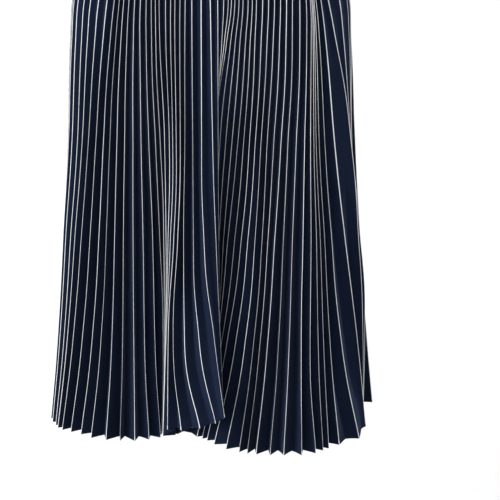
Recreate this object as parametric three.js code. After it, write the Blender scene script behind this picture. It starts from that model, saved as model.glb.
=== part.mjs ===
// A pleated midi skirt: a front and a back panel of sharp accordion pleats under an elastic waistband.
// Millimetres, +Z up. The origin is the centre of the waist opening, and the front faces -Y.

import * as THREE from "three";

// General sizes
const CLOTH_WALL = 1;
const SEAM_GAP = 0.3;
const BAND_HEIGHT = 40;
const BAND_WALL = 3;
const BAND_EDGE = 0.8;
const BAND_SIDES = 96;
const LENGTH = 800;

// A pleat's panel is narrow at the band and widens evenly to the hem
const PANEL_AT_BAND = 4.5;
const PANEL_AT_HEM = 21.5;
const PLEAT_FILL = 0.94;
const SHALLOWEST_PLEAT = 0.22;
const LONGEST_MITRE = 9;

// The skirt's own width and depth at six heights: band, hip, middle, knee, low and hem
const TOP = -BAND_HEIGHT - SEAM_GAP;
const HEIGHTS = [
  { z: TOP, halfWidth: 122, halfDepth: 98 },
  { z: -266, halfWidth: 188, halfDepth: 112 },
  { z: -400, halfWidth: 195, halfDepth: 132 },
  { z: -530, halfWidth: 203.5, halfDepth: 153.5 },
  { z: -660, halfWidth: 212, halfDepth: 175 },
  { z: -LENGTH, halfWidth: 226, halfDepth: 200 },
];
const FRONT_SQUARENESS = 2.5;
const FOLD_GROWTH = 0.75;
const LIFT_GROWTH = 4;
const OPENING_SPEED = 9;

// Rows of points down the cloth
const ROWS = [TOP, -100, -180, -266, -300, -345, -400, -480, -560, -640, -700, -752, -LENGTH];

// Front pleats, counted from the left side seam. Each row is one crest that shapes a fold:
// its place across the skirt at the hip, middle, knee, low and hem heights, its place in depth at
// the hem, how open the pleat stands (1 is its full depth) and how far its hem is lifted.
const FRONT_PLEATS = 57;
const FOLD_COLUMNS = ["pleat", "hip", "middle", "knee", "low", "hem", "hemDepth", "open", "lift"];
const FOLDS = [
  [0, -187.9, -193.9, -203, -211.9, -225.9, -7, 0.8, 0],
  [3, -184, -191, -201, -210, -224, -44, 0.8, 0],
  [6, -167, -175, -187, -198, -214, -86, 0.9, 0],
  [10, -126, -137, -146, -157, -176, -122, 1, 0],
  [12, -112, -119, -124.5, -130, -140.5, -143, 1, 0],
  [14, -95.5, -97.5, -99.5, -100.5, -101, -147, 1, 0],
  [16, -79, -77, -74, -73, -68.5, -134, 0.6, 0],
  [17, -72, -68.5, -65, -62, -65.5, -122, 0.3, 0],
  [18, -66.5, -62.5, -60, -61, -64.3, -119, 0.2, 0],
  [19, -61.5, -57, -57.5, -60, -63.3, -121, 0.15, 0],
  [20, -53.5, -51, -54.5, -59, -62.3, -135, 0.15, 4],
  [21, -47.5, -46.5, -51, -57.5, -60.8, -153, 0.15, 13],
  [22, -42.5, -42, -46.5, -54.7, -56, -172, 0.2, 26],
  [23, -37, -37.5, -41.5, -47.5, -38, -178, 0.35, 27],
  [24, -30.5, -31.5, -33.5, -31.5, -13, -184, 0.7, 32],
  [25, -21.5, -21, -20.3, -12.5, 8, -190, 0.3, 41],
  [26, -9.5, -9.5, -6.5, 6.5, 20, -194, 0.05, 51],
  [27, 3, 5, 9, 14, 14, -184, 0.05, 45],
  [28, 13, 13.5, 13, 13, 5, -172, 0.08, 36],
  [31, 23, 14, 6, 4, -16, -142, 0.12, 12],
  [33, 34.5, 21.5, 12, 4, -27, -124, 0.12, 0],
  [34, 40.5, 29.5, 18, 8, -25, -117, 0.2, 0],
  [35, 47.5, 37, 23.5, 10, -18, -131, 0.4, 0],
  [37, 59.5, 52, 41, 23, -3, -143, 0.8, 0],
  [38, 67.5, 59.5, 49.5, 34, 6, -157, 1, 0],
  [40, 83, 75, 68, 57, 38.5, -185, 1, 0],
  [42, 99.5, 93, 84.5, 75.5, 60.5, -196, 1, 0],
  [44, 117.5, 113, 108, 104, 97, -200, 1, 0],
  [45, 125.5, 124, 122, 120, 121, -200, 1, 0],
  [47, 132.5, 135, 140, 143, 150, -182, 0.85, 0],
  [49, 139, 143.5, 151.5, 159, 172, -161, 0.9, 0],
  [50, 143, 151, 161, 174, 200, -138, 0.6, 0],
  [51, 151, 164, 180, 195.5, 210, -91, 0.8, 0],
  [54, 181, 189.5, 199, 209, 224, -30, 0.8, 0],
  [56, 187.9, 194.5, 203.5, 211.9, 225.9, -7, 0.8, 0],
];

// The back hangs in a few broad, even folds
const BACK_PLEATS = 50;
const BACK_FOLDS = 4.5;
const BACK_FOLD_DEPTH = 26;
const BACK_BUNCHING = 0.035;
const BACK_OPEN = 0.95;

const CLOTH = new THREE.MeshStandardMaterial({ color: 0x141d33, roughness: 0.75, metalness: 0 });
const BAND = new THREE.MeshStandardMaterial({ color: 0x121a2e, roughness: 0.85, metalness: 0 });

function column(name) {
  const at = FOLD_COLUMNS.indexOf(name);
  return FOLDS.map((row) => row[at]);
}

// A smooth line through given points that never overshoots them
function smoothLine(places, values) {
  const last = places.length - 1;
  const steps = places.slice(1).map((place, i) => place - places[i]);
  const rises = steps.map((step, i) => (values[i + 1] - values[i]) / step);
  const slopes = values.map((value, i) => {
    if (i === 0 || i === last || rises[i - 1] * rises[i] <= 0) return 0;
    const before = 2 * steps[i] + steps[i - 1];
    const after = steps[i] + 2 * steps[i - 1];
    return (before + after) / (before / rises[i - 1] + after / rises[i]);
  });
  slopes[0] = rises[0];
  slopes[last] = rises[last - 1];
  return (place) => {
    let i = 0;
    while (i < last - 1 && place > places[i + 1]) i += 1;
    const t = (place - places[i]) / steps[i];
    const ahead = values[i] + t * steps[i] * slopes[i];
    const behind = values[i + 1] - (1 - t) * steps[i] * slopes[i + 1];
    const mix = t * t * (3 - 2 * t);
    return ahead + (behind - ahead) * mix;
  };
}

// How much of the hem's folds shows at a height: none at the hip and all at the hem
function foldShare(z) {
  const hip = HEIGHTS[1].z;
  return Math.max(0, (hip - z) / (LENGTH + hip)) ** FOLD_GROWTH;
}

// The front's general line: a rounded box with the skirt's own width and depth
function frontLine(x, { halfWidth, halfDepth }) {
  const across = Math.min(1, Math.abs(x) / halfWidth) ** FRONT_SQUARENESS;
  return -halfDepth * (1 - across) ** (1 / FRONT_SQUARENESS);
}

function frontCrests() {
  const pleats = column("pleat");
  const places = ["hip", "middle", "knee", "low", "hem"];
  const across = places.map((name) => smoothLine(pleats, column(name)));
  const hemDepth = smoothLine(pleats, column("hemDepth"));
  const open = smoothLine(pleats, column("open"));
  const lift = smoothLine(pleats, column("lift"));
  const hem = HEIGHTS[HEIGHTS.length - 1];
  return Array.from({ length: FRONT_PLEATS }, (_, pleat) => {
    const angle = (Math.PI * (pleat + 0.5)) / FRONT_PLEATS;
    const setBack = hemDepth(pleat) - frontLine(across[across.length - 1](pleat), hem);
    const points = HEIGHTS.map((height, i) => {
      if (i === 0) {
        return [-height.halfWidth * Math.cos(angle), -height.halfDepth * Math.sin(angle)];
      }
      const x = across[i - 1](pleat);
      return [x, frontLine(x, height) + setBack * foldShare(height.z)];
    });
    return { points, open: open(pleat), lift: lift(pleat) };
  });
}

function backCrests() {
  return Array.from({ length: BACK_PLEATS }, (_, pleat) => {
    const turn = (pleat + 0.5) / BACK_PLEATS;
    const wave = 2 * Math.PI * BACK_FOLDS * turn;
    const points = HEIGHTS.map(({ z, halfWidth, halfDepth }) => {
      const share = foldShare(z);
      const fade = Math.sin(Math.PI * turn);
      const angle = Math.PI * turn + BACK_BUNCHING * share * fade * Math.sin(wave);
      const inward = 0.5 * BACK_FOLD_DEPTH * share * fade * (1 + Math.cos(wave));
      return [(halfWidth - inward) * Math.cos(angle), (halfDepth - inward) * Math.sin(angle)];
    });
    return { points, open: BACK_OPEN, lift: 0 };
  });
}

// All crests in one ring, as smooth lines down the cloth
function crestLines() {
  const down = HEIGHTS.map(({ z }) => -z);
  return [...frontCrests(), ...backCrests()].map(({ points, open, lift }) => ({
    x: smoothLine(down, points.map(([x]) => x)),
    y: smoothLine(down, points.map(([, y]) => y)),
    open,
    lift,
  }));
}

function panelWidth(z) {
  return PANEL_AT_BAND + ((PANEL_AT_HEM - PANEL_AT_BAND) * (TOP - z)) / (LENGTH + TOP);
}

// The valley between two crests lies inward from their middle, as deep as the panel's width allows
function valley(crests, k, z) {
  const count = crests.length;
  const at = (i) => crests[(i + count) % count];
  const [before, left, right, after] = [at(k - 1), at(k), at(k + 1), at(k + 2)];
  const along = [
    right.x - left.x + 0.5 * (after.x - before.x),
    right.y - left.y + 0.5 * (after.y - before.y),
  ];
  const size = Math.hypot(...along);
  const half = Math.hypot(right.x - left.x, right.y - left.y) / 2;
  const width = panelWidth(z);
  const full = Math.sqrt(Math.max(width ** 2 - half ** 2, (SHALLOWEST_PLEAT * width) ** 2));
  const open = 1 - (1 - (left.open + right.open) / 2) * Math.min(1, OPENING_SPEED * foldShare(z));
  const deep = PLEAT_FILL * open * full;
  return {
    x: (left.x + right.x) / 2 - (along[1] / size) * deep,
    y: (left.y + right.y) / 2 + (along[0] / size) * deep,
    z: (left.z + right.z) / 2,
  };
}

// One ring round the skirt, crest and valley by turns
function ring(lines, z) {
  const share = foldShare(z) ** LIFT_GROWTH;
  const crests = lines.map((line) => ({
    x: line.x(-z),
    y: line.y(-z),
    z: z + line.lift * share,
    open: line.open,
  }));
  return crests.flatMap((crest, k) => [crest, valley(crests, k, z)]);
}

// Moves a ring inward by the wall, square to each panel
function innerRing(outer) {
  const count = outer.length;
  const normals = outer.map((point, i) => {
    const next = outer[(i + 1) % count];
    const size = Math.hypot(next.x - point.x, next.y - point.y);
    return [-(next.y - point.y) / size, (next.x - point.x) / size];
  });
  return outer.map((point, i) => {
    const [ax, ay] = normals[(i + count - 1) % count];
    const [bx, by] = normals[i];
    const reach = CLOTH_WALL / (1 + ax * bx + ay * by);
    const length = reach * Math.hypot(ax + bx, ay + by);
    const trim = Math.min(1, LONGEST_MITRE / length);
    return { x: point.x + (ax + bx) * reach * trim, y: point.y + (ay + by) * reach * trim, z: point.z };
  });
}

// A closed wall from rows of outer and inner points, open or closed round its own length
function wall(outer, inner, closed) {
  const rows = outer.length;
  const columns = outer[0].length;
  const positions = [...outer.flat(), ...inner.flat()].flatMap(({ x, y, z }) => [x, y, z]);
  const triangles = [];
  const quad = (a, b, c, d) => triangles.push(a, b, c, a, c, d);
  const out = (row, i) => row * columns + (i % columns);
  const back = (row, i) => rows * columns + out(row, i);
  const last = closed ? columns : columns - 1;
  for (let i = 0; i < last; i += 1) {
    for (let row = 0; row < rows - 1; row += 1) {
      quad(out(row, i), out(row + 1, i), out(row + 1, i + 1), out(row, i + 1));
      quad(back(row, i), back(row, i + 1), back(row + 1, i + 1), back(row + 1, i));
    }
    quad(out(0, i), out(0, i + 1), back(0, i + 1), back(0, i));
    quad(out(rows - 1, i), back(rows - 1, i), back(rows - 1, i + 1), out(rows - 1, i + 1));
  }
  for (let row = 0; !closed && row < rows - 1; row += 1) {
    quad(out(row, 0), back(row, 0), back(row + 1, 0), out(row + 1, 0));
    quad(out(row, last), out(row + 1, last), back(row + 1, last), back(row, last));
  }
  const geometry = new THREE.BufferGeometry();
  geometry.setAttribute("position", new THREE.Float32BufferAttribute(positions, 3));
  geometry.setIndex(triangles);
  geometry.computeVertexNormals();
  return geometry;
}

// A panel is the stretch of the rings between its two side seams, which lie in valleys
function panel(outer, inner, firstCrest, pleats, side) {
  const cut = (points) => {
    const count = points.length;
    const stretch = [];
    for (let i = -1; i < 2 * pleats; i += 1) {
      stretch.push({ ...points[(2 * firstCrest + i + count) % count] });
    }
    stretch[0].y += (side * SEAM_GAP) / 2;
    stretch[stretch.length - 1].y += (side * SEAM_GAP) / 2;
    return stretch;
  };
  return wall(outer.map(cut), inner.map(cut), false);
}

// The waistband: a flat elastic ring with softly rounded edges
function waistband() {
  const { halfWidth, halfDepth } = HEIGHTS[0];
  const oval = (z, inset) => Array.from({ length: BAND_SIDES }, (_, i) => {
    const angle = (2 * Math.PI * i) / BAND_SIDES;
    return { x: (halfWidth - inset) * Math.cos(angle), y: (halfDepth - inset) * Math.sin(angle), z };
  });
  const heights = [0, -BAND_EDGE, BAND_EDGE - BAND_HEIGHT, -BAND_HEIGHT];
  const rounding = [BAND_EDGE, 0, 0, BAND_EDGE];
  const outer = heights.map((z, i) => oval(z, rounding[i]));
  const inner = heights.map((z, i) => oval(z, BAND_WALL - rounding[i]));
  return wall(outer, inner, true);
}

function named(name, geometry, material) {
  const mesh = new THREE.Mesh(geometry, material);
  mesh.name = name;
  return mesh;
}

const lines = crestLines();
const outer = ROWS.map((z) => ring(lines, z));
const inner = outer.map(innerRing);

const skirt = new THREE.Group();
skirt.add(named("front_panel", panel(outer, inner, 0, FRONT_PLEATS, -1), CLOTH));
skirt.add(named("back_panel", panel(outer, inner, FRONT_PLEATS, BACK_PLEATS, 1), CLOTH));
skirt.add(named("waistband", waistband(), BAND));

export default skirt;
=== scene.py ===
"""A pleated midi skirt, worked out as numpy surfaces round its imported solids.

Everything is in metres, +Z up, with the front facing -Y and the waist opening at the origin.
"""

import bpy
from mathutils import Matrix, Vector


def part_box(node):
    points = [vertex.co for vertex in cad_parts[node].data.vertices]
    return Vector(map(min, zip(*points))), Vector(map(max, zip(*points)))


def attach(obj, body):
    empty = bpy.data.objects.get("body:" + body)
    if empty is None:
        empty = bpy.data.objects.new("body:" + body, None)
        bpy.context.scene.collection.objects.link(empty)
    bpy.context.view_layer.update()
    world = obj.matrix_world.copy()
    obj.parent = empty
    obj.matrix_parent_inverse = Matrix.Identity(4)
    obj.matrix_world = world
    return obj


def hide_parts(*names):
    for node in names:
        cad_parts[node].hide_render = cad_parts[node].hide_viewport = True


bl_info = {
    "name": "Pleated Midi Skirt",
    "version": (1, 0, 0),
    "blender": (4, 5, 0),
    "location": "View3D > Sidebar > Skirt",
    "description": "Builds a striped accordion-pleated skirt, its waistband and its studio",
    "category": "Add Mesh",
}

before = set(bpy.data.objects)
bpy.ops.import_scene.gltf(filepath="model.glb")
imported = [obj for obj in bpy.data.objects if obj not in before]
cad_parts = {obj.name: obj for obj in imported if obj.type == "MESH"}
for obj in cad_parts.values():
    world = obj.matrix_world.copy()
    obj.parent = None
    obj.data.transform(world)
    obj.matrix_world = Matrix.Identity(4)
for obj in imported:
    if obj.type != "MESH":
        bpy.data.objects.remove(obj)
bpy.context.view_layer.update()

import math

import bpy
import numpy as np
from bpy.props import FloatProperty, FloatVectorProperty, IntProperty, PointerProperty
from mathutils import Vector

MM = 0.001
BODY = "root"

# The band and the cloth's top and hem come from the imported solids
BAND_LOW, BAND_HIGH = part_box("waistband")
FRONT_LOW, FRONT_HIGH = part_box("front_panel")
CLOTH_TOP = FRONT_HIGH.z
HEM = FRONT_LOW.z
WAIST_HALF_WIDTH = BAND_HIGH.x
WAIST_HALF_DEPTH = BAND_HIGH.y

# The skirt's half width and half depth at the band, the seat, the hip, the middle, the knee, low
# down and at the hem
HEIGHTS = np.array(
    [
        (CLOTH_TOP, WAIST_HALF_WIDTH, WAIST_HALF_DEPTH),
        (-0.205, 0.1813, 0.107),
        (-0.266, 0.1885, 0.112),
        (-0.400, 0.1962, 0.132),
        (-0.530, 0.2047, 0.1535),
        (-0.660, 0.2148, 0.175),
        (HEM, 0.2282, 0.200),
    ],
    dtype=[("z", float), ("half_width", float), ("half_depth", float)],
)

# How square the front's general line is, how the folds grow from the hip to the hem, how the lifts
# and the changing leans do, and the share by which a crest goes on past its hip place at the seat
FRONT_SQUARENESS = 2.5
FOLD_GROWTH = 0.75
LIFT_GROWTH = 4.0
SEAT_SWING = 0.45

# Front pleats, counted from the left side seam. Each row is one crest that shapes a fold, in
# millimetres: its place across the skirt at five heights, its place in depth at the hem, how open
# its pleat stands at the middle and at the hem (1 is its full depth) and how far its hem is lifted.
FRONT_PLEATS = 57
FOLDS = np.array(
    [
        (0, -187.6, -193.9, -203, -211.9, -225.9, -7, 1, 1, 0),
        (3, -184, -191, -201, -210, -224, -44, 1, 1, 0),
        (6, -167, -175, -187, -198, -214, -86, 1, 1, 0),
        (10, -127.4, -138.8, -147.1, -157.6, -176, -122, 1, 1, 0),
        (12, -113.4, -120.8, -125.6, -130.6, -140.5, -143, 1, 1, 0),
        (14, -96.9, -99.3, -100.6, -101.1, -101, -147, 1, 1, 0),
        (15, -88.6, -88.8, -87.6, -87.1, -82, -142, 1, 0.8, 0),
        (16, -80.4, -78.8, -75.1, -73.6, -66.9, -134, 1, 0.6, 0),
        (17, -73.4, -70.3, -66.1, -62.9, -66, -122, 0.9, 0.5, 0),
        (18, -67.9, -64.3, -61.1, -62, -65.7, -119, 0.9, 0.6, 0),
        (19, -62.9, -58.8, -58.4, -61.2, -65.4, -121, 0.9, 0.9, 0),
        (20, -54.9, -52.4, -55.4, -59.9, -64.9, -135, 0.9, 0.9, 3),
        (21, -48.7, -47.7, -51.9, -58.3, -63.6, -153, 0.9, 0.95, 11),
        (22, -43.3, -42.9, -47.1, -54.9, -56.4, -172, 0.8, 0.6, 26),
        (23, -37, -37.5, -41.7, -48.2, -38, -178, 1, 0.5, 27),
        (24, -30.5, -31.5, -33.7, -33, -13, -184, 1, 0.6, 32),
        (25, -21.5, -21, -20.6, -14.3, 8, -190, 0.9, 0.35, 41),
        (26, -9.5, -9.5, -6.6, 5.5, 20, -194, 0.8, 0.02, 51),
        (27, 3, 5, 9, 14, 19, -183, 0.4, 0.08, 45),
        (28, 12, 12, 12.5, 13, 8, -172, 0.05, 0.12, 36),
        (29, 17, 10, 8, 9, -8, -160, 0.03, 0.12, 28),
        (30, 20.5, 7.5, 6, 6, -24, -149, 0.05, 0.12, 20),
        (31, 23.5, 8, 6, 4, -38, -139, 0.08, 0.12, 10),
        (32, 28.5, 14, 8, 3, -44, -121, 0.2, 0.12, 0),
        (33, 34.5, 21.5, 12, 4, -50, -111, 0.3, 0.15, 0),
        (34, 40.5, 29.5, 18, 8, -41, -108, 0.5, 0.25, 0),
        (35, 47.5, 37, 23.5, 10, -18.5, -131, 0.8, 0.5, 0),
        (36, 53.5, 44.5, 32.5, 16, -11.6, -138, 1, 0.7, 0),
        (37, 59.5, 52, 41, 23, -5.2, -145, 1, 0.8, 0),
        (38, 67.5, 59.5, 49.5, 34, 4.6, -159, 1, 1, 0),
        (40, 83, 75, 68, 57, 38.2, -188, 1, 1, 0),
        (42, 99.5, 93, 84.5, 75.5, 60.5, -196, 1, 1, 0),
        (43, 107.5, 102, 96, 90, 79, -199, 1, 1, 0),
        (44, 117.5, 113, 108, 104, 97, -200, 1, 1, 0),
        (45, 126.5, 124, 122, 120, 121, -200, 1, 1, 0),
        (46, 132.5, 132, 133, 132, 140, -192, 1, 1, 0),
        (47, 135, 136.5, 140.5, 143, 150, -182, 1, 1, 0),
        (49, 139, 143.5, 151.5, 159, 172, -161, 1, 1, 0),
        (50, 143, 151, 161, 174, 200, -138, 0.9, 0.9, 0),
        (51, 151, 163.5, 179, 196.2, 211.8, -91, 0.9, 0.9, 0),
        (52, 164, 186, 197.6, 205.6, 209, -72, 0.9, 0.9, 0),
        (53, 175.5, 187, 200.6, 209.6, 210.5, -52, 0.9, 0.9, 0),
        (54, 184, 189, 199, 208.6, 211, -33, 0.9, 0.9, 0),
        (55, 187, 189.5, 200, 209.3, 211.5, -19, 1, 1, 0),
        (56, 188.4, 191, 201, 210, 212.5, -7, 1, 1, 0),
    ],
    dtype=[
        (name, float)
        for name in (
            "pleat", "hip", "middle", "knee", "low", "hem", "hem_depth",
            "open_middle", "open_hem", "lift",
        )
    ],
)

# From this pleat on the crests turn round the side, each at its own share of the skirt's depth, and
# the hem's depth shows later
SIDE_START = 50
SIDE_GROWTH = 5.0

# How far a valley stands from the middle of its two crests, as a share of their distance, from the
# band down and then at the hem
LEANS = np.array(
    [
        (12, 0.22, 0.22),
        (13, -0.22, -0.22),
        (14, -0.06, -0.06),
        (16, 0.0, 0.18),
        (42, 0.28, 0.28),
        (44, 0.05, 0.05),
        (45, -0.11, -0.11),
        (48, 0.0, 0.10),
        (49, -0.04, 0.12),
        (50, -0.13, 0.14),
    ],
    dtype=[("pleat", int), ("above", float), ("at_hem", float)],
)

# How far the panel left of a crest bows inward at the hem, in millimetres
BOWS = np.array(
    [(25, 1.2), (44, 1.0), (45, 1.2), (50, 1.4), (51, 2.4)],
    dtype=[("pleat", int), ("bow", float)],
)

# The back hangs in a few broad, even folds
BACK_PLEATS = 50
BACK_FOLDS = 4.5
BACK_FOLD_DEPTH = 0.026
BACK_BUNCHING = 0.035
BACK_OPEN = 0.95

# The panels of the pleats, from crest to valley: their width at the band and at the hem, the share
# of a pleat's full depth that it takes up, its least depth as a share of the width, the rows down
# the cloth, the steps across a panel, how far a crease is drawn in and the gap at a side seam
PANEL_AT_BAND = 0.0045
PANEL_AT_HEM = 0.0215
PLEAT_FILL = 0.97
SHALLOWEST_PLEAT = 0.22
CLOTH_ROWS = 70
PANEL_STEPS = np.array([0.0, 0.05, 0.28, 0.72, 0.95])
CREASE_SOFTNESS = 0.35
SEAM_GAP = 0.0003

# Small unevenness: a valley's sway as a share of its panel, and how far a panel's bow may turn back
SWAY = 0.03
SWAY_KNOTS = 6
BOW_KNOTS = 7
BOW_TURNED_BACK = -0.35
BOW_AT_BAND = 0.15

# The two lengths of cloth: where each starts round the skirt, its pleats, the side of the seam that
# it lies on and the seed of its panels' bows
PANELS = {
    "front": {"first_crest": 0, "pleats": FRONT_PLEATS, "seam_side": -1, "seed": 21},
    "back": {"first_crest": FRONT_PLEATS, "pleats": BACK_PLEATS, "seam_side": 1, "seed": 22},
}

# The turned hem's last rows: the step above the turn, the edge's height, and the layers of cloth in
# the turn and at its edge
HEM_ROWS = 3
HEM_STEP = 0.0006
HEM_EDGE = 0.0008
HEM_LAYERS = 2.4
HEM_EDGE_LAYERS = 1.6

# The waistband: its rows and columns, its wall, the heights of its seams and its fine gathers
BAND_COLUMNS = 900
BAND_ROWS = 22
BAND_WALL = 0.003
BAND_SQUARENESS = 12
BAND_CLEARANCE = 0.0002
BAND_SEAMS = (-0.0045, -0.0155, -0.0265, -0.0365)
BAND_SEAM_REACH = 0.0018
BAND_SEAM_SINK = 0.0006
BAND_INSIDE_SINK = 0.3
BAND_GATHERS = 150
BAND_GATHER_HEIGHT = 0.00035
BAND_INSIDE_GATHER = 0.5
GATHER_SHIFT = 0.9
GATHER_SHIFTS = 17
GATHER_FADE = 0.3
GATHER_FADES = 29

# Stitches: thread thickness, spacing and length on the band and on the hem
BAND_THREAD = 0.0005
BAND_STITCH_SPACING = 0.0031
BAND_STITCH_LENGTH = 0.0023
HEM_THREAD = 0.00035
HEM_STITCH_SPACING = 0.0034
HEM_STITCH_LENGTH = 0.0021
HEM_STITCH_SHARE = 0.2
HEM_STITCH_LIFT = 0.9

# The cloth's colours and its sheen, the span in which a stripe's edge wanders and half the width
# over which it fades
NAVY = (0.0060, 0.0098, 0.0226)
STRIPE_COLOUR = (0.76, 0.768, 0.78)
SHEEN_ROUGHNESS = 0.45
SHEEN_TINT = (0.35, 0.45, 0.75, 1)
STRIPE_WANDER = 0.0005
STRIPE_EDGE = 0.00012

# The studio: the floor, the surround, suns by name, direction to the light, strength and softness
# in degrees, and the camera
FLOOR_DROP = 0.30
FLOOR_RADIUS = 60.0
FLOOR_SIDES = 64
SURROUND_COLOUR = (0.95, 0.97, 1.0, 1)
SURROUND_STRENGTH = 0.06
LIGHTS = (
    ("key_light", (-0.85, -0.49, 0.20), 4.3, 30),
    ("front_light", (-0.22, -0.95, 0.23), 1.2, 50),
    ("right_light", (0.93, 0.05, 0.30), 1.3, 40),
    ("back_light", (-0.30, 0.92, 0.25), 1.4, 40),
    ("floor_light", (0.0, 0.0, 1.0), 1.5, 20),
)
CAMERA_TARGET = Vector((0.053, 0.0, -0.5746))
CAMERA_RISE = 15.0
CAMERA_DISTANCE = 2.5
CAMERA_LENS = 130.0
CAMERA_REACH = 200.0


class SkirtSizes(bpy.types.PropertyGroup):
    """The sizes and colours that change the skirt's finish."""

    cloth_thickness: FloatProperty(
        name="Cloth thickness",
        description="Thickness of the pleated cloth",
        default=0.0004,
        min=0.0002,
        max=0.001,
        unit="LENGTH",
        precision=5,
    )
    hem_turn: FloatProperty(
        name="Hem turn",
        description="Depth of the narrow turned hem",
        default=0.0048,
        min=0.002,
        max=0.02,
        unit="LENGTH",
        precision=4,
    )
    stripe_width: FloatProperty(
        name="Stripe width",
        description="Width of the pale stripe on each crest",
        default=0.00155,
        min=0.0005,
        max=0.006,
        unit="LENGTH",
        precision=4,
    )
    panel_bow: FloatProperty(
        name="Panel bow",
        description="How far a pleat's panel bows from flat at most",
        default=0.0007,
        min=0.0,
        max=0.003,
        unit="LENGTH",
        precision=4,
    )
    unevenness_seed: IntProperty(
        name="Unevenness seed",
        description="Seed of the small unevenness of the pleats",
        default=11,
        min=0,
    )
    cloth_colour: FloatVectorProperty(
        name="Cloth colour",
        description="Navy of the pleated cloth and the waistband",
        default=NAVY,
        size=3,
        min=0.0,
        max=1.0,
        subtype="COLOR",
    )
    stripe_colour: FloatVectorProperty(
        name="Stripe colour",
        description="Pale thread of the stripes",
        default=STRIPE_COLOUR,
        size=3,
        min=0.0,
        max=1.0,
        subtype="COLOR",
    )


# Shapes


def smooth_line(places, values, at):
    """Values at new places along a smooth line through the given ones.

    Each given point's slope is the weighted harmonic mean of the slopes beside it, or level at a
    turning point, and two neighbouring slopes are mixed by a smooth step. The line may pass a
    given value slightly where it levels out.
    """
    places = np.asarray(places, float)
    values = np.asarray(values, float)
    at = np.asarray(at, float)
    shape = (-1,) + (1,) * (values.ndim - 1)
    steps = np.diff(places).reshape(shape)
    rises = np.diff(values, axis=0) / steps
    before = 2 * steps[1:] + steps[:-1]
    after = steps[1:] + 2 * steps[:-1]
    same_way = rises[:-1] * rises[1:] > 0
    first = np.where(same_way, rises[:-1], 1.0)
    second = np.where(same_way, rises[1:], 1.0)
    inside = np.where(same_way, (before + after) / (before / first + after / second), 0.0)
    slopes = np.concatenate([rises[:1], inside, rises[-1:]])
    i = np.clip(np.searchsorted(places, at, side="right") - 1, 0, len(places) - 2)
    step = steps[i]
    t = (at - places[i]).reshape(shape) / step
    ahead = values[i] + t * step * slopes[i]
    behind = values[i + 1] - (1 - t) * step * slopes[i + 1]
    return ahead + (behind - ahead) * t * t * (3 - 2 * t)


def fold_share(z):
    """How much of the hem's folds shows at a height: the distance below the hip as a share, curved."""
    hip = HEIGHTS["z"][2]
    return np.clip((hip - z) / (hip - HEM), 0, 1) ** FOLD_GROWTH


MIDDLE_SHARE = float(fold_share(HEIGHTS["z"][3]))


def front_line(share):
    """The front's general line: a rounded box, whose two shares to a power add up to one."""
    across = np.minimum(1.0, np.abs(share)) ** FRONT_SQUARENESS
    return -((1 - across) ** (1 / FRONT_SQUARENESS))


def front_crests():
    """The front's crests at the seven heights, read from the fold table by a smooth line.

    At the seat a crest goes on past its hip place, away from its middle place, by a set share.
    Its depth is the general line's, set back by a share of what the hem's own depth adds.
    """
    pleats = np.arange(FRONT_PLEATS)
    read = {
        name: smooth_line(FOLDS["pleat"], FOLDS[name], pleats) for name in FOLDS.dtype.names[1:]
    }
    angle = math.pi * (pleats + 0.5) / FRONT_PLEATS
    hip = read["hip"] * MM / HEIGHTS["half_width"][2]
    middle = read["middle"] * MM / HEIGHTS["half_width"][3]
    read["seat"] = (hip + SEAT_SWING * (hip - middle)) * HEIGHTS["half_width"][1] / MM

    def general_line(across, height):
        """The front line's depth at one height, read at the hip's place for the side's pleats."""
        shares = np.where(pleats < SIDE_START, across / height["half_width"], hip)
        return front_line(shares) * height["half_depth"]

    set_back = read["hem_depth"] * MM - general_line(read["hem"] * MM, HEIGHTS[-1])
    growth = np.where(pleats < SIDE_START, 1.0, SIDE_GROWTH)
    x = [-HEIGHTS["half_width"][0] * np.cos(angle)]
    y = [-HEIGHTS["half_depth"][0] * np.sin(angle)]
    for height, name in zip(HEIGHTS[1:], ("seat", "hip", "middle", "knee", "low", "hem")):
        across = read[name] * MM
        x.append(across)
        y.append(general_line(across, height) + set_back * fold_share(height["z"]) ** growth)
    openness = np.stack([(1 + read["open_middle"]) / 2, read["open_middle"], read["open_hem"]])
    return np.array(x), np.array(y), openness, read["lift"] * MM


def back_crests():
    """The back's crests at the seven heights: an ellipse drawn in and bunched by one even wave."""
    turn = (np.arange(BACK_PLEATS) + 0.5) / BACK_PLEATS
    wave = 2 * math.pi * BACK_FOLDS * turn
    fade = np.sin(math.pi * turn)
    share = fold_share(HEIGHTS["z"])[:, None]
    angle = math.pi * turn + BACK_BUNCHING * share * fade * np.sin(wave)
    inward = 0.5 * BACK_FOLD_DEPTH * share * fade * (1 + np.cos(wave))
    x = (HEIGHTS["half_width"][:, None] - inward) * np.cos(angle)
    y = (HEIGHTS["half_depth"][:, None] - inward) * np.sin(angle)
    return x, y, np.full((3, BACK_PLEATS), BACK_OPEN), np.zeros(BACK_PLEATS)


def cloth_heights(hem_turn):
    """Heights of the cloth's rows: evenly spaced down to the hem's turn, then three rows over it."""
    t = np.linspace(0, 1, CLOTH_ROWS - HEM_ROWS)
    even = CLOTH_TOP + (HEM + hem_turn + HEM_STEP - CLOTH_TOP) * t
    return np.concatenate([even, [HEM + hem_turn, HEM + HEM_EDGE, HEM]])


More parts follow.
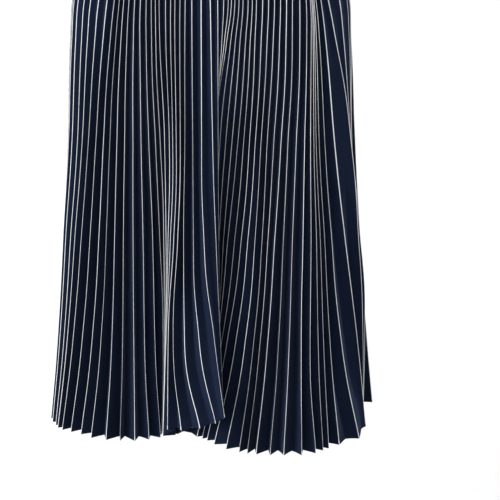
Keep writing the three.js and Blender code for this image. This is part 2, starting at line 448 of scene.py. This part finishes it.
def ring_corners(z, rng):
    """Crests and valleys by turns round the whole skirt, as (rows, corners, 3).

    A valley lies inward from the middle of its two crests, as deep as the panel's width allows.
    """
    front, back = front_crests(), back_crests()
    levels_x = np.concatenate([front[0], back[0]], axis=1)
    levels_y = np.concatenate([front[1], back[1]], axis=1)
    openness = np.concatenate([front[2], back[2]], axis=1)
    lift = np.concatenate([front[3], back[3]])
    down = -HEIGHTS["z"]
    crest_x = smooth_line(down, levels_x, -z)
    crest_y = smooth_line(down, levels_y, -z)
    share = fold_share(z)[:, None]

    width = PANEL_AT_BAND + (PANEL_AT_HEM - PANEL_AT_BAND) * (CLOTH_TOP - z) / (CLOTH_TOP - HEM)
    width = width[:, None]
    pleats = levels_x.shape[1]
    knots = rng.normal(0, 1, (SWAY_KNOTS, pleats))
    sway = smooth_line(np.linspace(0, 1, SWAY_KNOTS), knots, np.linspace(0, 1, len(z)))
    lean = np.zeros((len(z), pleats))
    growing = (LEANS["at_hem"] - LEANS["above"]) * share**LIFT_GROWTH
    lean[:, LEANS["pleat"]] = LEANS["above"] + growing
    crest_z = z[:, None] + lift * share**LIFT_GROWTH
    next_x, next_y = np.roll(crest_x, -1, 1), np.roll(crest_y, -1, 1)
    along_x = next_x - crest_x + 0.5 * (np.roll(crest_x, -2, 1) - np.roll(crest_x, 1, 1))
    along_y = next_y - crest_y + 0.5 * (np.roll(crest_y, -2, 1) - np.roll(crest_y, 1, 1))
    size = np.hypot(along_x, along_y)
    half = np.hypot(next_x - crest_x, next_y - crest_y) / 2
    drift = SWAY * width * sway * openness[2] + 2 * half * lean
    full = np.sqrt(np.maximum(width**2 - half**2, (SHALLOWEST_PLEAT * width) ** 2))
    pair_open = (openness + np.roll(openness, -1, 1)) / 2
    open_now = smooth_line([0, MIDDLE_SHARE, 1], pair_open, share[:, 0])
    deep = PLEAT_FILL * open_now * full
    valley_x = (crest_x + next_x) / 2 - along_y / size * deep + drift * along_x / size
    valley_y = (crest_y + next_y) / 2 + along_x / size * deep + drift * along_y / size
    valley_z = (crest_z + np.roll(crest_z, -1, 1)) / 2

    corners = np.empty((len(z), 2 * pleats, 3))
    corners[:, 0::2] = np.stack([crest_x, crest_y, crest_z], axis=-1)
    corners[:, 1::2] = np.stack([valley_x, valley_y, valley_z], axis=-1)
    return corners, width


def pleated_surface(sizes, first_crest, pleats, seam_side, seed):
    """One panel of cloth between its side seams: points, distance from the crest, distance down.

    Each panel of a pleat is a straight run from crest to valley, with its corners drawn in a
    little towards their neighbours, and a low bow of half a sine wave square to the panel.
    """
    z = cloth_heights(sizes.hem_turn)
    corners, width = ring_corners(z, np.random.default_rng(sizes.unevenness_seed))
    count = corners.shape[1]
    wanted = (np.arange(2 * first_crest - 1, 2 * (first_crest + pleats))) % count
    stretch = corners[:, wanted]
    stretch[:, 0, 1] += seam_side * SEAM_GAP / 2
    stretch[:, -1, 1] += seam_side * SEAM_GAP / 2

    start, end = stretch[:, :-1, None], stretch[:, 1:, None]
    share = PANEL_STEPS[None, None, :, None]
    runs = start + (end - start) * share
    across = (end - start)[..., :2]
    square = np.stack([-across[..., 1], across[..., 0]], axis=-1)
    square /= np.linalg.norm(square, axis=-1, keepdims=True)
    panels = runs.shape[1]
    rng = np.random.default_rng(seed)
    knots = rng.uniform(BOW_TURNED_BACK, 1.0, (BOW_KNOTS, panels))
    bow = smooth_line(np.linspace(0, 1, BOW_KNOTS), knots, np.linspace(0, 1, len(z)))
    rise = np.linspace(BOW_AT_BAND, 1, len(z))[:, None]
    own_bow = np.zeros(2 * (FRONT_PLEATS + BACK_PLEATS) + 1)
    own_bow[2 * BOWS["pleat"]] = BOWS["bow"] * MM
    own_bow = own_bow[2 * first_crest + np.arange(panels)]
    bow = (sizes.panel_bow * bow + own_bow) * rise
    amount = bow[..., None, None] * np.sin(math.pi * share)
    runs[..., :2] += square * amount

    points = runs.reshape(len(z), -1, 3)
    points = np.concatenate([points, stretch[:, -1:]], axis=1)
    steps = len(PANEL_STEPS)
    creases = np.arange(steps, points.shape[1] - 1, steps)
    middle = (points[:, creases - 1] + points[:, creases + 1]) / 2
    points[:, creases] += CREASE_SOFTNESS * (middle - points[:, creases])

    # A panel starts in a valley, so odd panels run from crest to valley
    falling = (np.arange(panels) % 2 == 1)[:, None]
    part = np.where(falling, PANEL_STEPS[None, :], 1 - PANEL_STEPS[None, :]).reshape(-1)
    part = np.append(part, 1.0)
    from_crest = width * part[None, :]
    down = np.repeat((CLOTH_TOP - z)[:, None], points.shape[1], axis=1)
    return points, from_crest, down


def surface_normals(points):
    """Unit normals of a grid of points: the cross product of its two lines of neighbours."""
    down = np.gradient(points, axis=0)
    along = np.gradient(points, axis=1)
    normal = np.cross(down, along)
    return normal / np.maximum(np.linalg.norm(normal, axis=-1, keepdims=True), 1e-12)


def wall_faces(rows, columns, closed):
    """Faces of a wall whose outer and inner grids follow each other in one list of points."""
    last = columns if closed else columns - 1
    row, column = np.meshgrid(np.arange(rows - 1), np.arange(last), indexing="ij")
    beside = (column + 1) % columns
    a, b = row * columns + column, (row + 1) * columns + column
    c, d = (row + 1) * columns + beside, row * columns + beside
    inner = rows * columns
    outer_faces = np.stack([a, b, c, d], axis=-1).reshape(-1, 4)
    inner_faces = np.stack([a, d, c, b], axis=-1).reshape(-1, 4) + inner
    i = np.arange(last)
    j = (i + 1) % columns
    low = (rows - 1) * columns
    top = np.stack([i, j, j + inner, i + inner], axis=-1)
    bottom = np.stack([low + i, low + i + inner, low + j + inner, low + j], axis=-1)
    faces = [outer_faces, inner_faces, top, bottom]
    if not closed:
        r = np.arange(rows - 1) * columns
        e = r + columns - 1
        faces.append(np.stack([r, r + inner, r + columns + inner, r + columns], axis=-1))
        faces.append(np.stack([e, e + columns, e + columns + inner, e + inner], axis=-1))
    return np.concatenate(faces)


def new_piece(name, points, quads, material, triangles=None, uv=None, smooth=True):
    """A mesh object made from whole arrays, with an optional UV map given for each point."""
    if triangles is None:
        triangles = np.empty((0, 3), int)
    corners = np.concatenate([quads.ravel(), triangles.ravel()]).astype(np.int32)
    starts = np.concatenate(
        [4 * np.arange(len(quads)), quads.size + 3 * np.arange(len(triangles))]
    ).astype(np.int32)
    mesh = bpy.data.meshes.new(name)
    mesh.vertices.add(len(points))
    mesh.vertices.foreach_set("co", np.ascontiguousarray(points, np.float32).ravel())
    mesh.loops.add(len(corners))
    mesh.loops.foreach_set("vertex_index", corners)
    mesh.polygons.add(len(starts))
    mesh.polygons.foreach_set("loop_start", starts)
    mesh.polygons.foreach_set("use_smooth", np.full(len(starts), smooth))
    mesh.update(calc_edges=True)
    if uv is not None:
        layer = mesh.uv_layers.new(name="cloth")
        layer.data.foreach_set("uv", uv[corners].astype(np.float32).ravel())
    mesh.materials.append(material)
    piece = bpy.data.objects.new(name, mesh)
    bpy.context.scene.collection.objects.link(piece)
    return piece


def turned_hem(z_count, sizes):
    """The cloth's thickness at each row: more layers over the turned hem's last rows."""
    thickness = np.full(z_count, sizes.cloth_thickness)
    thickness[-HEM_ROWS:] = HEM_LAYERS * sizes.cloth_thickness
    thickness[-1] = HEM_EDGE_LAYERS * sizes.cloth_thickness
    return thickness


def cloth_panel(side, sizes, material):
    """A pleated panel as a thin closed wall: the surface, moved out and in along its own normals."""
    name, node = f"{side}_cloth", f"{side}_panel"
    points, from_crest, down = pleated_surface(sizes, **PANELS[side])
    normals = surface_normals(points)
    thickness = turned_hem(len(points), sizes)[:, None, None]
    grow = thickness - sizes.cloth_thickness
    outer = points + normals * 0.5 * grow
    inner = points - normals * (sizes.cloth_thickness + 0.5 * grow)
    rows, columns = points.shape[:2]
    both = np.concatenate([outer.reshape(-1, 3), inner.reshape(-1, 3)])
    uv = np.stack([from_crest.ravel(), down.ravel()], axis=-1)
    faces = wall_faces(rows, columns, closed=False)
    piece = new_piece(name, both, faces, material, uv=np.concatenate([uv, uv]))
    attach(piece, BODY)
    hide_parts(node)


# Materials


def new_material(name, roughness, sheen):
    """A node material with its shader, and a helper that adds and links nodes."""
    material = bpy.data.materials.new(name)
    material.use_nodes = True
    tree = material.node_tree
    shader = tree.nodes["Principled BSDF"]
    shader.inputs["Roughness"].default_value = roughness
    shader.inputs["Specular IOR Level"].default_value = 0.0
    shader.inputs["Sheen Weight"].default_value = sheen
    shader.inputs["Sheen Roughness"].default_value = SHEEN_ROUGHNESS
    shader.inputs["Sheen Tint"].default_value = SHEEN_TINT

    def add(kind, inputs=(), **settings):
        """Add a node with its settings, and give each input a value or a link."""
        node = tree.nodes.new(kind)
        for key, value in settings.items():
            setattr(node, key, value)
        for socket, value in dict(inputs).items():
            if isinstance(value, bpy.types.NodeSocket):
                tree.links.new(value, node.inputs[socket])
            else:
                node.inputs[socket].default_value = value
        return node

    return material, tree, shader, add


def colour_mix(add, share, first, second):
    """A mix of two colours, each a socket or a value, by a share."""
    mix = add("ShaderNodeMix", {0: share}, data_type="RGBA")
    for socket, value in ((6, first), (7, second)):
        if isinstance(value, bpy.types.NodeSocket):
            mix.id_data.links.new(value, mix.inputs[socket])
        else:
            mix.inputs[socket].default_value = (*value, 1)
    return mix.outputs[2]


def shade(colour, factor):
    """A darker or lighter shade of a colour."""
    return tuple(factor * c for c in colour)


def stripe_share(add, uv, place, half):
    """How much of the stripe shows: all at the crest, none past its edge, which wanders a little."""
    split = add("ShaderNodeSeparateXYZ", {0: uv})
    edge = add("ShaderNodeTexNoise", {"Vector": place, "Scale": 900.0, "Detail": 2.0})
    wander = add(
        "ShaderNodeMath",
        {0: edge.outputs["Fac"], 1: STRIPE_WANDER, 2: -STRIPE_WANDER / 2},
        operation="MULTIPLY_ADD",
    )
    crest = add("ShaderNodeMath", {0: split.outputs["X"], 1: wander.outputs[0]}, operation="ADD")
    limits = {"From Min": half - STRIPE_EDGE, "From Max": half + STRIPE_EDGE}
    limits |= {"To Min": 1.0, "To Max": 0.0}
    stripe = add(
        "ShaderNodeMapRange", {"Value": crest.outputs[0], **limits}, interpolation_type="SMOOTHSTEP"
    )
    return stripe.outputs[0]


def stripe_threads(add, uv, pale):
    """The stripe's colour: threads lighter and darker by turns down its length."""
    stretched = add("ShaderNodeVectorMath", {0: uv, 1: (2600.0, 900.0, 1.0)}, operation="MULTIPLY")
    threads = add("ShaderNodeTexNoise", {"Vector": stretched.outputs[0], "Scale": 1.0, "Detail": 1.0})
    limits = {"From Min": 0.34, "From Max": 0.52}
    share = add("ShaderNodeMapRange", {"Value": threads.outputs["Fac"], **limits})
    return colour_mix(add, share.outputs[0], shade(pale, 0.6), pale)


def crepe_ground(add, place, navy, grain):
    """The ground's colour: a broad change of tone, with the lighter specks of a fine crepe grain."""
    broad = add("ShaderNodeTexNoise", {"Vector": place, "Scale": 14.0, "Detail": 3.0})
    limits = {"From Min": 0.3, "From Max": 0.7}
    tone = add("ShaderNodeMapRange", {"Value": broad.outputs["Fac"], **limits})
    ground = colour_mix(add, tone.outputs[0], shade(navy, 0.82), shade(navy, 1.12))
    limits = {"From Min": 0.35, "From Max": 0.7, "To Max": 0.35}
    speck = add("ShaderNodeMapRange", {"Value": grain, **limits})
    return colour_mix(add, speck.outputs[0], ground, shade(navy, 1.9))


def weave(add, uv, scale, distortion):
    """Fine threads as a diagonal wave over the cloth's own map, which a scale makes finer."""
    at = add("ShaderNodeVectorMath", {0: uv, 1: (scale, scale, 1.0)}, operation="MULTIPLY")
    threads = add(
        "ShaderNodeTexWave",
        {"Vector": at.outputs[0], "Scale": 1.0, "Distortion": distortion, "Detail": 1.0},
        wave_type="BANDS",
        bands_direction="DIAGONAL",
    )
    return threads.outputs["Fac"]


def striped_crepe(sizes):
    """Navy crepe with a pale woven stripe on each crest, read from the cloth's own UV map in metres."""
    material, tree, shader, add = new_material("striped_crepe", roughness=0.62, sheen=0.12)
    uv = add("ShaderNodeUVMap", uv_map="cloth").outputs["UV"]
    place = add("ShaderNodeTexCoord").outputs["Object"]
    noise = add("ShaderNodeTexNoise", {"Vector": place, "Scale": 1500.0, "Detail": 2.0})
    grain = noise.outputs["Fac"]
    stripe = stripe_share(add, uv, place, sizes.stripe_width / 2)
    threads = stripe_threads(add, uv, tuple(sizes.stripe_colour))
    ground = crepe_ground(add, place, tuple(sizes.cloth_colour), grain)
    tree.links.new(colour_mix(add, stripe, ground, threads), shader.inputs["Base Color"])
    height = add(
        "ShaderNodeMath",
        {0: weave(add, uv, scale=2400.0, distortion=1.5), 1: grain},
        operation="ADD",
    )
    bump = add(
        "ShaderNodeBump", {"Strength": 0.35, "Distance": 0.00012, "Height": height.outputs[0]}
    )
    tree.links.new(bump.outputs[0], shader.inputs["Normal"])
    return material


def covered_elastic(sizes):
    """The same navy on covered elastic, with fine slanting ribs, on its own UV map."""
    material, tree, shader, add = new_material("covered_elastic", roughness=0.72, sheen=0.0)
    uv = add("ShaderNodeUVMap", uv_map="cloth").outputs["UV"]
    place = add("ShaderNodeTexCoord").outputs["Object"]
    navy = tuple(sizes.cloth_colour)
    broad = add("ShaderNodeTexNoise", {"Vector": place, "Scale": 40.0, "Detail": 4.0})
    ground = colour_mix(add, broad.outputs["Fac"], shade(navy, 0.8), shade(navy, 1.15))
    tree.links.new(ground, shader.inputs["Base Color"])
    ribs = weave(add, uv, scale=1300.0, distortion=0.8)
    bump = add("ShaderNodeBump", {"Strength": 0.5, "Distance": 0.0002, "Height": ribs})
    tree.links.new(bump.outputs[0], shader.inputs["Normal"])
    return material


def sewing_thread(sizes):
    """Twisted navy polyester thread, a little lighter than the cloth, banded along its length."""
    material, tree, shader, add = new_material("sewing_thread", roughness=0.5, sheen=0.0)
    place = add("ShaderNodeTexCoord").outputs["Object"]
    twist = add("ShaderNodeTexNoise", {"Vector": place, "Scale": 2200.0, "Detail": 1.0})
    navy = tuple(sizes.cloth_colour)
    tone = colour_mix(add, twist.outputs["Fac"], navy, shade(navy, 2.2))
    tree.links.new(tone, shader.inputs["Base Color"])
    return material


def shared_material(name, maker, sizes):
    """The material of that name, made once."""
    return bpy.data.materials.get(name) or maker(sizes)


# Sewing


def stitches(name, starts, ends, outward, thickness, material):
    """Small raised threads from starts to ends: a three-sided tube, humped in its middle.

    Each stitch has four rings along its length, whose middle two stand off the cloth, and each
    ring has three corners round its own line.
    """
    along = ends - starts
    side = np.cross(along, outward)
    side /= np.maximum(np.linalg.norm(side, axis=-1, keepdims=True), 1e-12)
    shares = np.array([0.0, 0.25, 0.75, 1.0])
    humps = np.array([-0.4, 0.55, 0.55, -0.4])
    rings = starts[:, None] + along[:, None] * shares[None, :, None]
    rings = rings + outward[:, None] * (humps * thickness)[None, :, None]
    turns = 2 * math.pi * np.arange(3) / 3
    offset = (
        side[:, None, :] * np.cos(turns)[None, :, None]
        + outward[:, None, :] * np.sin(turns)[None, :, None]
    ) * (thickness / 2)
    points = rings[:, :, None] + offset[:, None]
    count = len(starts)
    i, j = np.meshgrid(np.arange(3), np.arange(3), indexing="ij")
    k = (j + 1) % 3
    tube = np.stack([3 * i + j, 3 * i + k, 3 * i + 3 + k, 3 * i + 3 + j], axis=-1).reshape(-1, 4)
    base = 12 * np.arange(count)[:, None, None]
    quads = (tube[None] + base).reshape(-1, 4)
    caps = np.array([[2, 1, 0], [9, 10, 11]])
    triangles = (caps[None] + base).reshape(-1, 3)
    piece = new_piece(name, points.reshape(-1, 3), quads, material, triangles=triangles)
    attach(piece, BODY)
    return piece


def along_line(points, spacing, length):
    """Starts and ends of stitches of one length, evenly spaced along a line of points.

    Also gives the distance travelled at each point and at each stitch's start.
    """
    steps = np.linalg.norm(np.diff(points, axis=0), axis=-1)
    travelled = np.concatenate([[0], np.cumsum(steps)])
    first = np.arange(spacing, travelled[-1] - spacing - length, spacing)

    def at(place):
        """The points at some distances along the line."""
        return np.stack([np.interp(place, travelled, points[:, k]) for k in range(3)], axis=-1)

    return at(first), at(first + length), travelled, first


# Waistband


def band_profile():
    """Round the band's own section: down the outside and up the inside, as height and inset."""
    height = BAND_HIGH.z - BAND_LOW.z
    down = np.linspace(0, 1, BAND_ROWS)
    z = BAND_HIGH.z - height * (0.5 - 0.5 * np.cos(math.pi * down))
    edge = np.sqrt(np.clip(1 - (2 * down - 1) ** BAND_SQUARENESS, 0, 1))
    outer_inset = 0.5 * BAND_WALL * (1 - edge)
    outside = np.stack([z, outer_inset], axis=-1)
    inside = np.stack([z[-2:0:-1], (BAND_WALL - outer_inset)[-2:0:-1]], axis=-1)
    return np.concatenate([outside, inside])


def band_surface():
    """The band as a closed ring: an ellipse less the profile's inset, puffed between its seams.

    The puff is one less a bell curve of the distance from the nearest seam. The gathers are a wave
    round the band, shifted and faded by two slower waves, and flat at the seams.
    """
    profile = band_profile()
    turn = 2 * math.pi * np.arange(BAND_COLUMNS) / BAND_COLUMNS
    z, inset = profile[:, 0][:, None], profile[:, 1][:, None]
    seams = np.array(BAND_SEAMS)
    near = np.min(np.abs(z - seams[None, :]), axis=1)[:, None]
    puff = 1 - np.exp(-((near / BAND_SEAM_REACH) ** 2))
    shifted = BAND_GATHERS * turn + GATHER_SHIFT * np.sin(GATHER_SHIFTS * turn)
    gathers = np.sin(shifted) * (1 - GATHER_FADE + GATHER_FADE * np.sin(GATHER_FADES * turn))
    outside = (np.arange(len(profile)) < BAND_ROWS)[:, None]
    side = np.where(outside, 1.0, -1.0)
    sunk = np.where(outside, 1.0, BAND_INSIDE_SINK) * BAND_SEAM_SINK * (1 - puff)
    ripple = BAND_GATHER_HEIGHT * puff * gathers[None, :]
    reach = -inset - side * sunk + side * ripple * np.where(outside, 1.0, BAND_INSIDE_GATHER)
    radius_x = WAIST_HALF_WIDTH + reach - BAND_CLEARANCE
    radius_y = WAIST_HALF_DEPTH + reach - BAND_CLEARANCE
    x = radius_x * np.cos(turn)[None, :]
    y = radius_y * np.sin(turn)[None, :]
    points = np.stack([x, y, np.broadcast_to(z, x.shape)], axis=-1)
    round_the_waist = WAIST_HALF_WIDTH * turn
    uv = np.stack(np.broadcast_arrays(round_the_waist[None, :], z), axis=-1).reshape(-1, 2)
    return points, uv


def ring_faces(rows, columns):
    """Faces of a grid closed both ways, like a flattened tyre."""
    row, column = np.meshgrid(np.arange(rows), np.arange(columns), indexing="ij")
    below, beside = (row + 1) % rows, (column + 1) % columns
    a, b = row * columns + column, below * columns + column
    c, d = below * columns + beside, row * columns + beside
    return np.stack([a, b, c, d], axis=-1).reshape(-1, 4)


def band_stitches(points):
    """Stitches along the rows of the band that lie nearest its seam heights."""
    heights = points[:BAND_ROWS, 0, 2]
    starts, ends, outward = [], [], []
    for seam in BAND_SEAMS:
        row = points[np.argmin(np.abs(heights - seam))].copy()
        row[:, 2] = seam
        closed = np.concatenate([row, row[:1]])
        first, last, _, _ = along_line(closed, BAND_STITCH_SPACING, BAND_STITCH_LENGTH)
        out = first * np.array([1, 1, 0])
        starts.append(first)
        ends.append(last)
        outward.append(out / np.linalg.norm(out, axis=-1, keepdims=True))
    return np.concatenate(starts), np.concatenate(ends), np.concatenate(outward)


# Studio


def make_floor():
    """A large flat disc well below the hem, of pale paper with a faint grain."""
    turn = 2 * math.pi * np.arange(FLOOR_SIDES) / FLOOR_SIDES
    rim = np.stack([np.cos(turn), np.sin(turn)], axis=-1) * FLOOR_RADIUS
    height = HEM - FLOOR_DROP
    points = np.concatenate([rim, np.full((FLOOR_SIDES, 1), height)], axis=1)
    points = np.concatenate([points, [[0, 0, height]]])
    i = np.arange(FLOOR_SIDES)
    faces = np.stack([np.full(FLOOR_SIDES, FLOOR_SIDES), i, (i + 1) % FLOOR_SIDES], axis=-1)
    material, tree, shader, add = new_material("pale_paper", roughness=0.9, sheen=0.0)
    place = add("ShaderNodeTexCoord").outputs["Object"]
    noise = add("ShaderNodeTexNoise", {"Vector": place, "Scale": 60.0, "Detail": 3.0})
    tone = colour_mix(add, noise.outputs["Fac"], (0.9, 0.9, 0.9), (0.94, 0.94, 0.94))
    tree.links.new(tone, shader.inputs["Base Color"])
    none = np.empty((0, 4), int)
    floor = new_piece("studio_floor", points, none, material, triangles=faces, smooth=False)


def make_world(scene):
    """An even, nearly white surround."""
    world = bpy.data.worlds.new("studio")
    world.use_nodes = True
    background = world.node_tree.nodes["Background"]
    background.inputs["Color"].default_value = SURROUND_COLOUR
    background.inputs["Strength"].default_value = SURROUND_STRENGTH
    scene.world = world


def make_light(name, direction, strength, softness):
    """A sun that shines from a direction, as soft as its angle in degrees."""
    data = bpy.data.lights.new(name, "SUN")
    data.energy = strength
    data.angle = math.radians(softness)
    lamp = bpy.data.objects.new(name, data)
    bpy.context.scene.collection.objects.link(lamp)
    lamp.rotation_euler = Vector(direction).to_track_quat("Z", "Y").to_euler()


def make_camera(scene):
    """The camera at the photograph's angle: straight in front and a little above."""
    data = bpy.data.cameras.new("camera")
    data.lens = CAMERA_LENS
    data.clip_end = CAMERA_REACH
    camera = bpy.data.objects.new("camera", data)
    scene.collection.objects.link(camera)
    rise = math.radians(CAMERA_RISE)
    away = Vector((0, -math.cos(rise), math.sin(rise)))
    camera.location = CAMERA_TARGET + away * CAMERA_DISTANCE
    camera.rotation_euler = away.to_track_quat("Z", "Y").to_euler()
    scene.camera = camera


# Operators


class SKIRT_OT_front(bpy.types.Operator):
    """Build the front panel: a pleated stretch of cloth between the side seams."""

    bl_idname = "skirt.front"
    bl_label = "Front panel"

    def execute(self, context):
        sizes = context.scene.skirt_sizes
        material = shared_material("striped_crepe", striped_crepe, sizes)
        cloth_panel("front", sizes, material)
        return {"FINISHED"}


class SKIRT_OT_back(bpy.types.Operator):
    """Build the back panel: the second pleated stretch of cloth."""

    bl_idname = "skirt.back"
    bl_label = "Back panel"

    def execute(self, context):
        sizes = context.scene.skirt_sizes
        material = shared_material("striped_crepe", striped_crepe, sizes)
        cloth_panel("back", sizes, material)
        return {"FINISHED"}


class SKIRT_OT_waistband(bpy.types.Operator):
    """Build the elastic waistband with its puffed channels and rows of stitches."""

    bl_idname = "skirt.waistband"
    bl_label = "Waistband"

    def execute(self, context):
        sizes = context.scene.skirt_sizes
        material = shared_material("covered_elastic", covered_elastic, sizes)
        thread = shared_material("sewing_thread", sewing_thread, sizes)
        points, uv = band_surface()
        rows, columns = points.shape[:2]
        faces = ring_faces(rows, columns)
        piece = new_piece("waistband_cover", points.reshape(-1, 3), faces, material, uv=uv)
        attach(piece, BODY)
        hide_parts("waistband")
        starts, ends, outward = band_stitches(points)
        name, slot = "waistband_stitches", "waistband_cloth"
        stitches(name, starts, ends, outward, BAND_THREAD, thread)
        return {"FINISHED"}


class SKIRT_OT_hem_stitches(bpy.types.Operator):
    """Sew the narrow turned hem with a row of small stitches on each pleat panel."""

    bl_idname = "skirt.hem_stitches"
    bl_label = "Hem stitches"

    def execute(self, context):
        sizes = context.scene.skirt_sizes
        thread = shared_material("sewing_thread", sewing_thread, sizes)
        for side, panel in PANELS.items():
            points, _, _ = pleated_surface(sizes, **panel)
            outward_line = surface_normals(points)[-HEM_ROWS]
            turn, edge = points[-HEM_ROWS], points[1 - HEM_ROWS]
            line = turn * (1 - HEM_STITCH_SHARE) + edge * HEM_STITCH_SHARE
            line = line + outward_line * HEM_STITCH_LIFT * sizes.cloth_thickness
            spacing, length = HEM_STITCH_SPACING, HEM_STITCH_LENGTH
            starts, ends, travelled, at = along_line(line, spacing, length)
            outward = np.stack(
                [np.interp(at, travelled, outward_line[:, k]) for k in range(3)], axis=-1
            )
            outward /= np.linalg.norm(outward, axis=-1, keepdims=True)
            name = f"{side}_hem_stitches"
            stitches(name, starts, ends, outward, HEM_THREAD, thread)
        return {"FINISHED"}


class SKIRT_OT_stage(bpy.types.Operator):
    """Set the pale floor, the soft studio lights and the camera."""

    bl_idname = "skirt.stage"
    bl_label = "Stage"

    def execute(self, context):
        scene = context.scene
        scene.view_settings.view_transform = "Standard"
        make_floor()
        make_world(scene)
        for name, direction, strength, softness in LIGHTS:
            make_light(name, direction, strength, softness)
        make_camera(scene)
        return {"FINISHED"}


class SKIRT_PT_panel(bpy.types.Panel):
    """The skirt's sizes and one button for each piece."""

    bl_idname = "SKIRT_PT_panel"
    bl_label = "Pleated skirt"
    bl_space_type = "VIEW_3D"
    bl_region_type = "UI"
    bl_category = "Skirt"

    def draw(self, context):
        sizes = context.scene.skirt_sizes
        for name in SkirtSizes.__annotations__:
            self.layout.prop(sizes, name)
        for operator in OPERATORS:
            self.layout.operator(operator.bl_idname)


OPERATORS = (
    SKIRT_OT_front,
    SKIRT_OT_back,
    SKIRT_OT_waistband,
    SKIRT_OT_hem_stitches,
    SKIRT_OT_stage,
)
CLASSES = (SkirtSizes, *OPERATORS, SKIRT_PT_panel)


def register():
    """Add the classes and the skirt's own sizes."""
    for cls in CLASSES:
        bpy.utils.register_class(cls)
    bpy.types.Scene.skirt_sizes = PointerProperty(type=SkirtSizes)


def unregister():
    """Take the skirt's own sizes and the classes out again."""
    del bpy.types.Scene.skirt_sizes
    for cls in reversed(CLASSES):
        bpy.utils.unregister_class(cls)


def main():
    """Build the skirt and its studio."""
    register()
    bpy.ops.skirt.front()
    bpy.ops.skirt.back()
    bpy.ops.skirt.waistband()
    bpy.ops.skirt.hem_stitches()
    bpy.ops.skirt.stage()


if __name__ == "__main__":
    main()
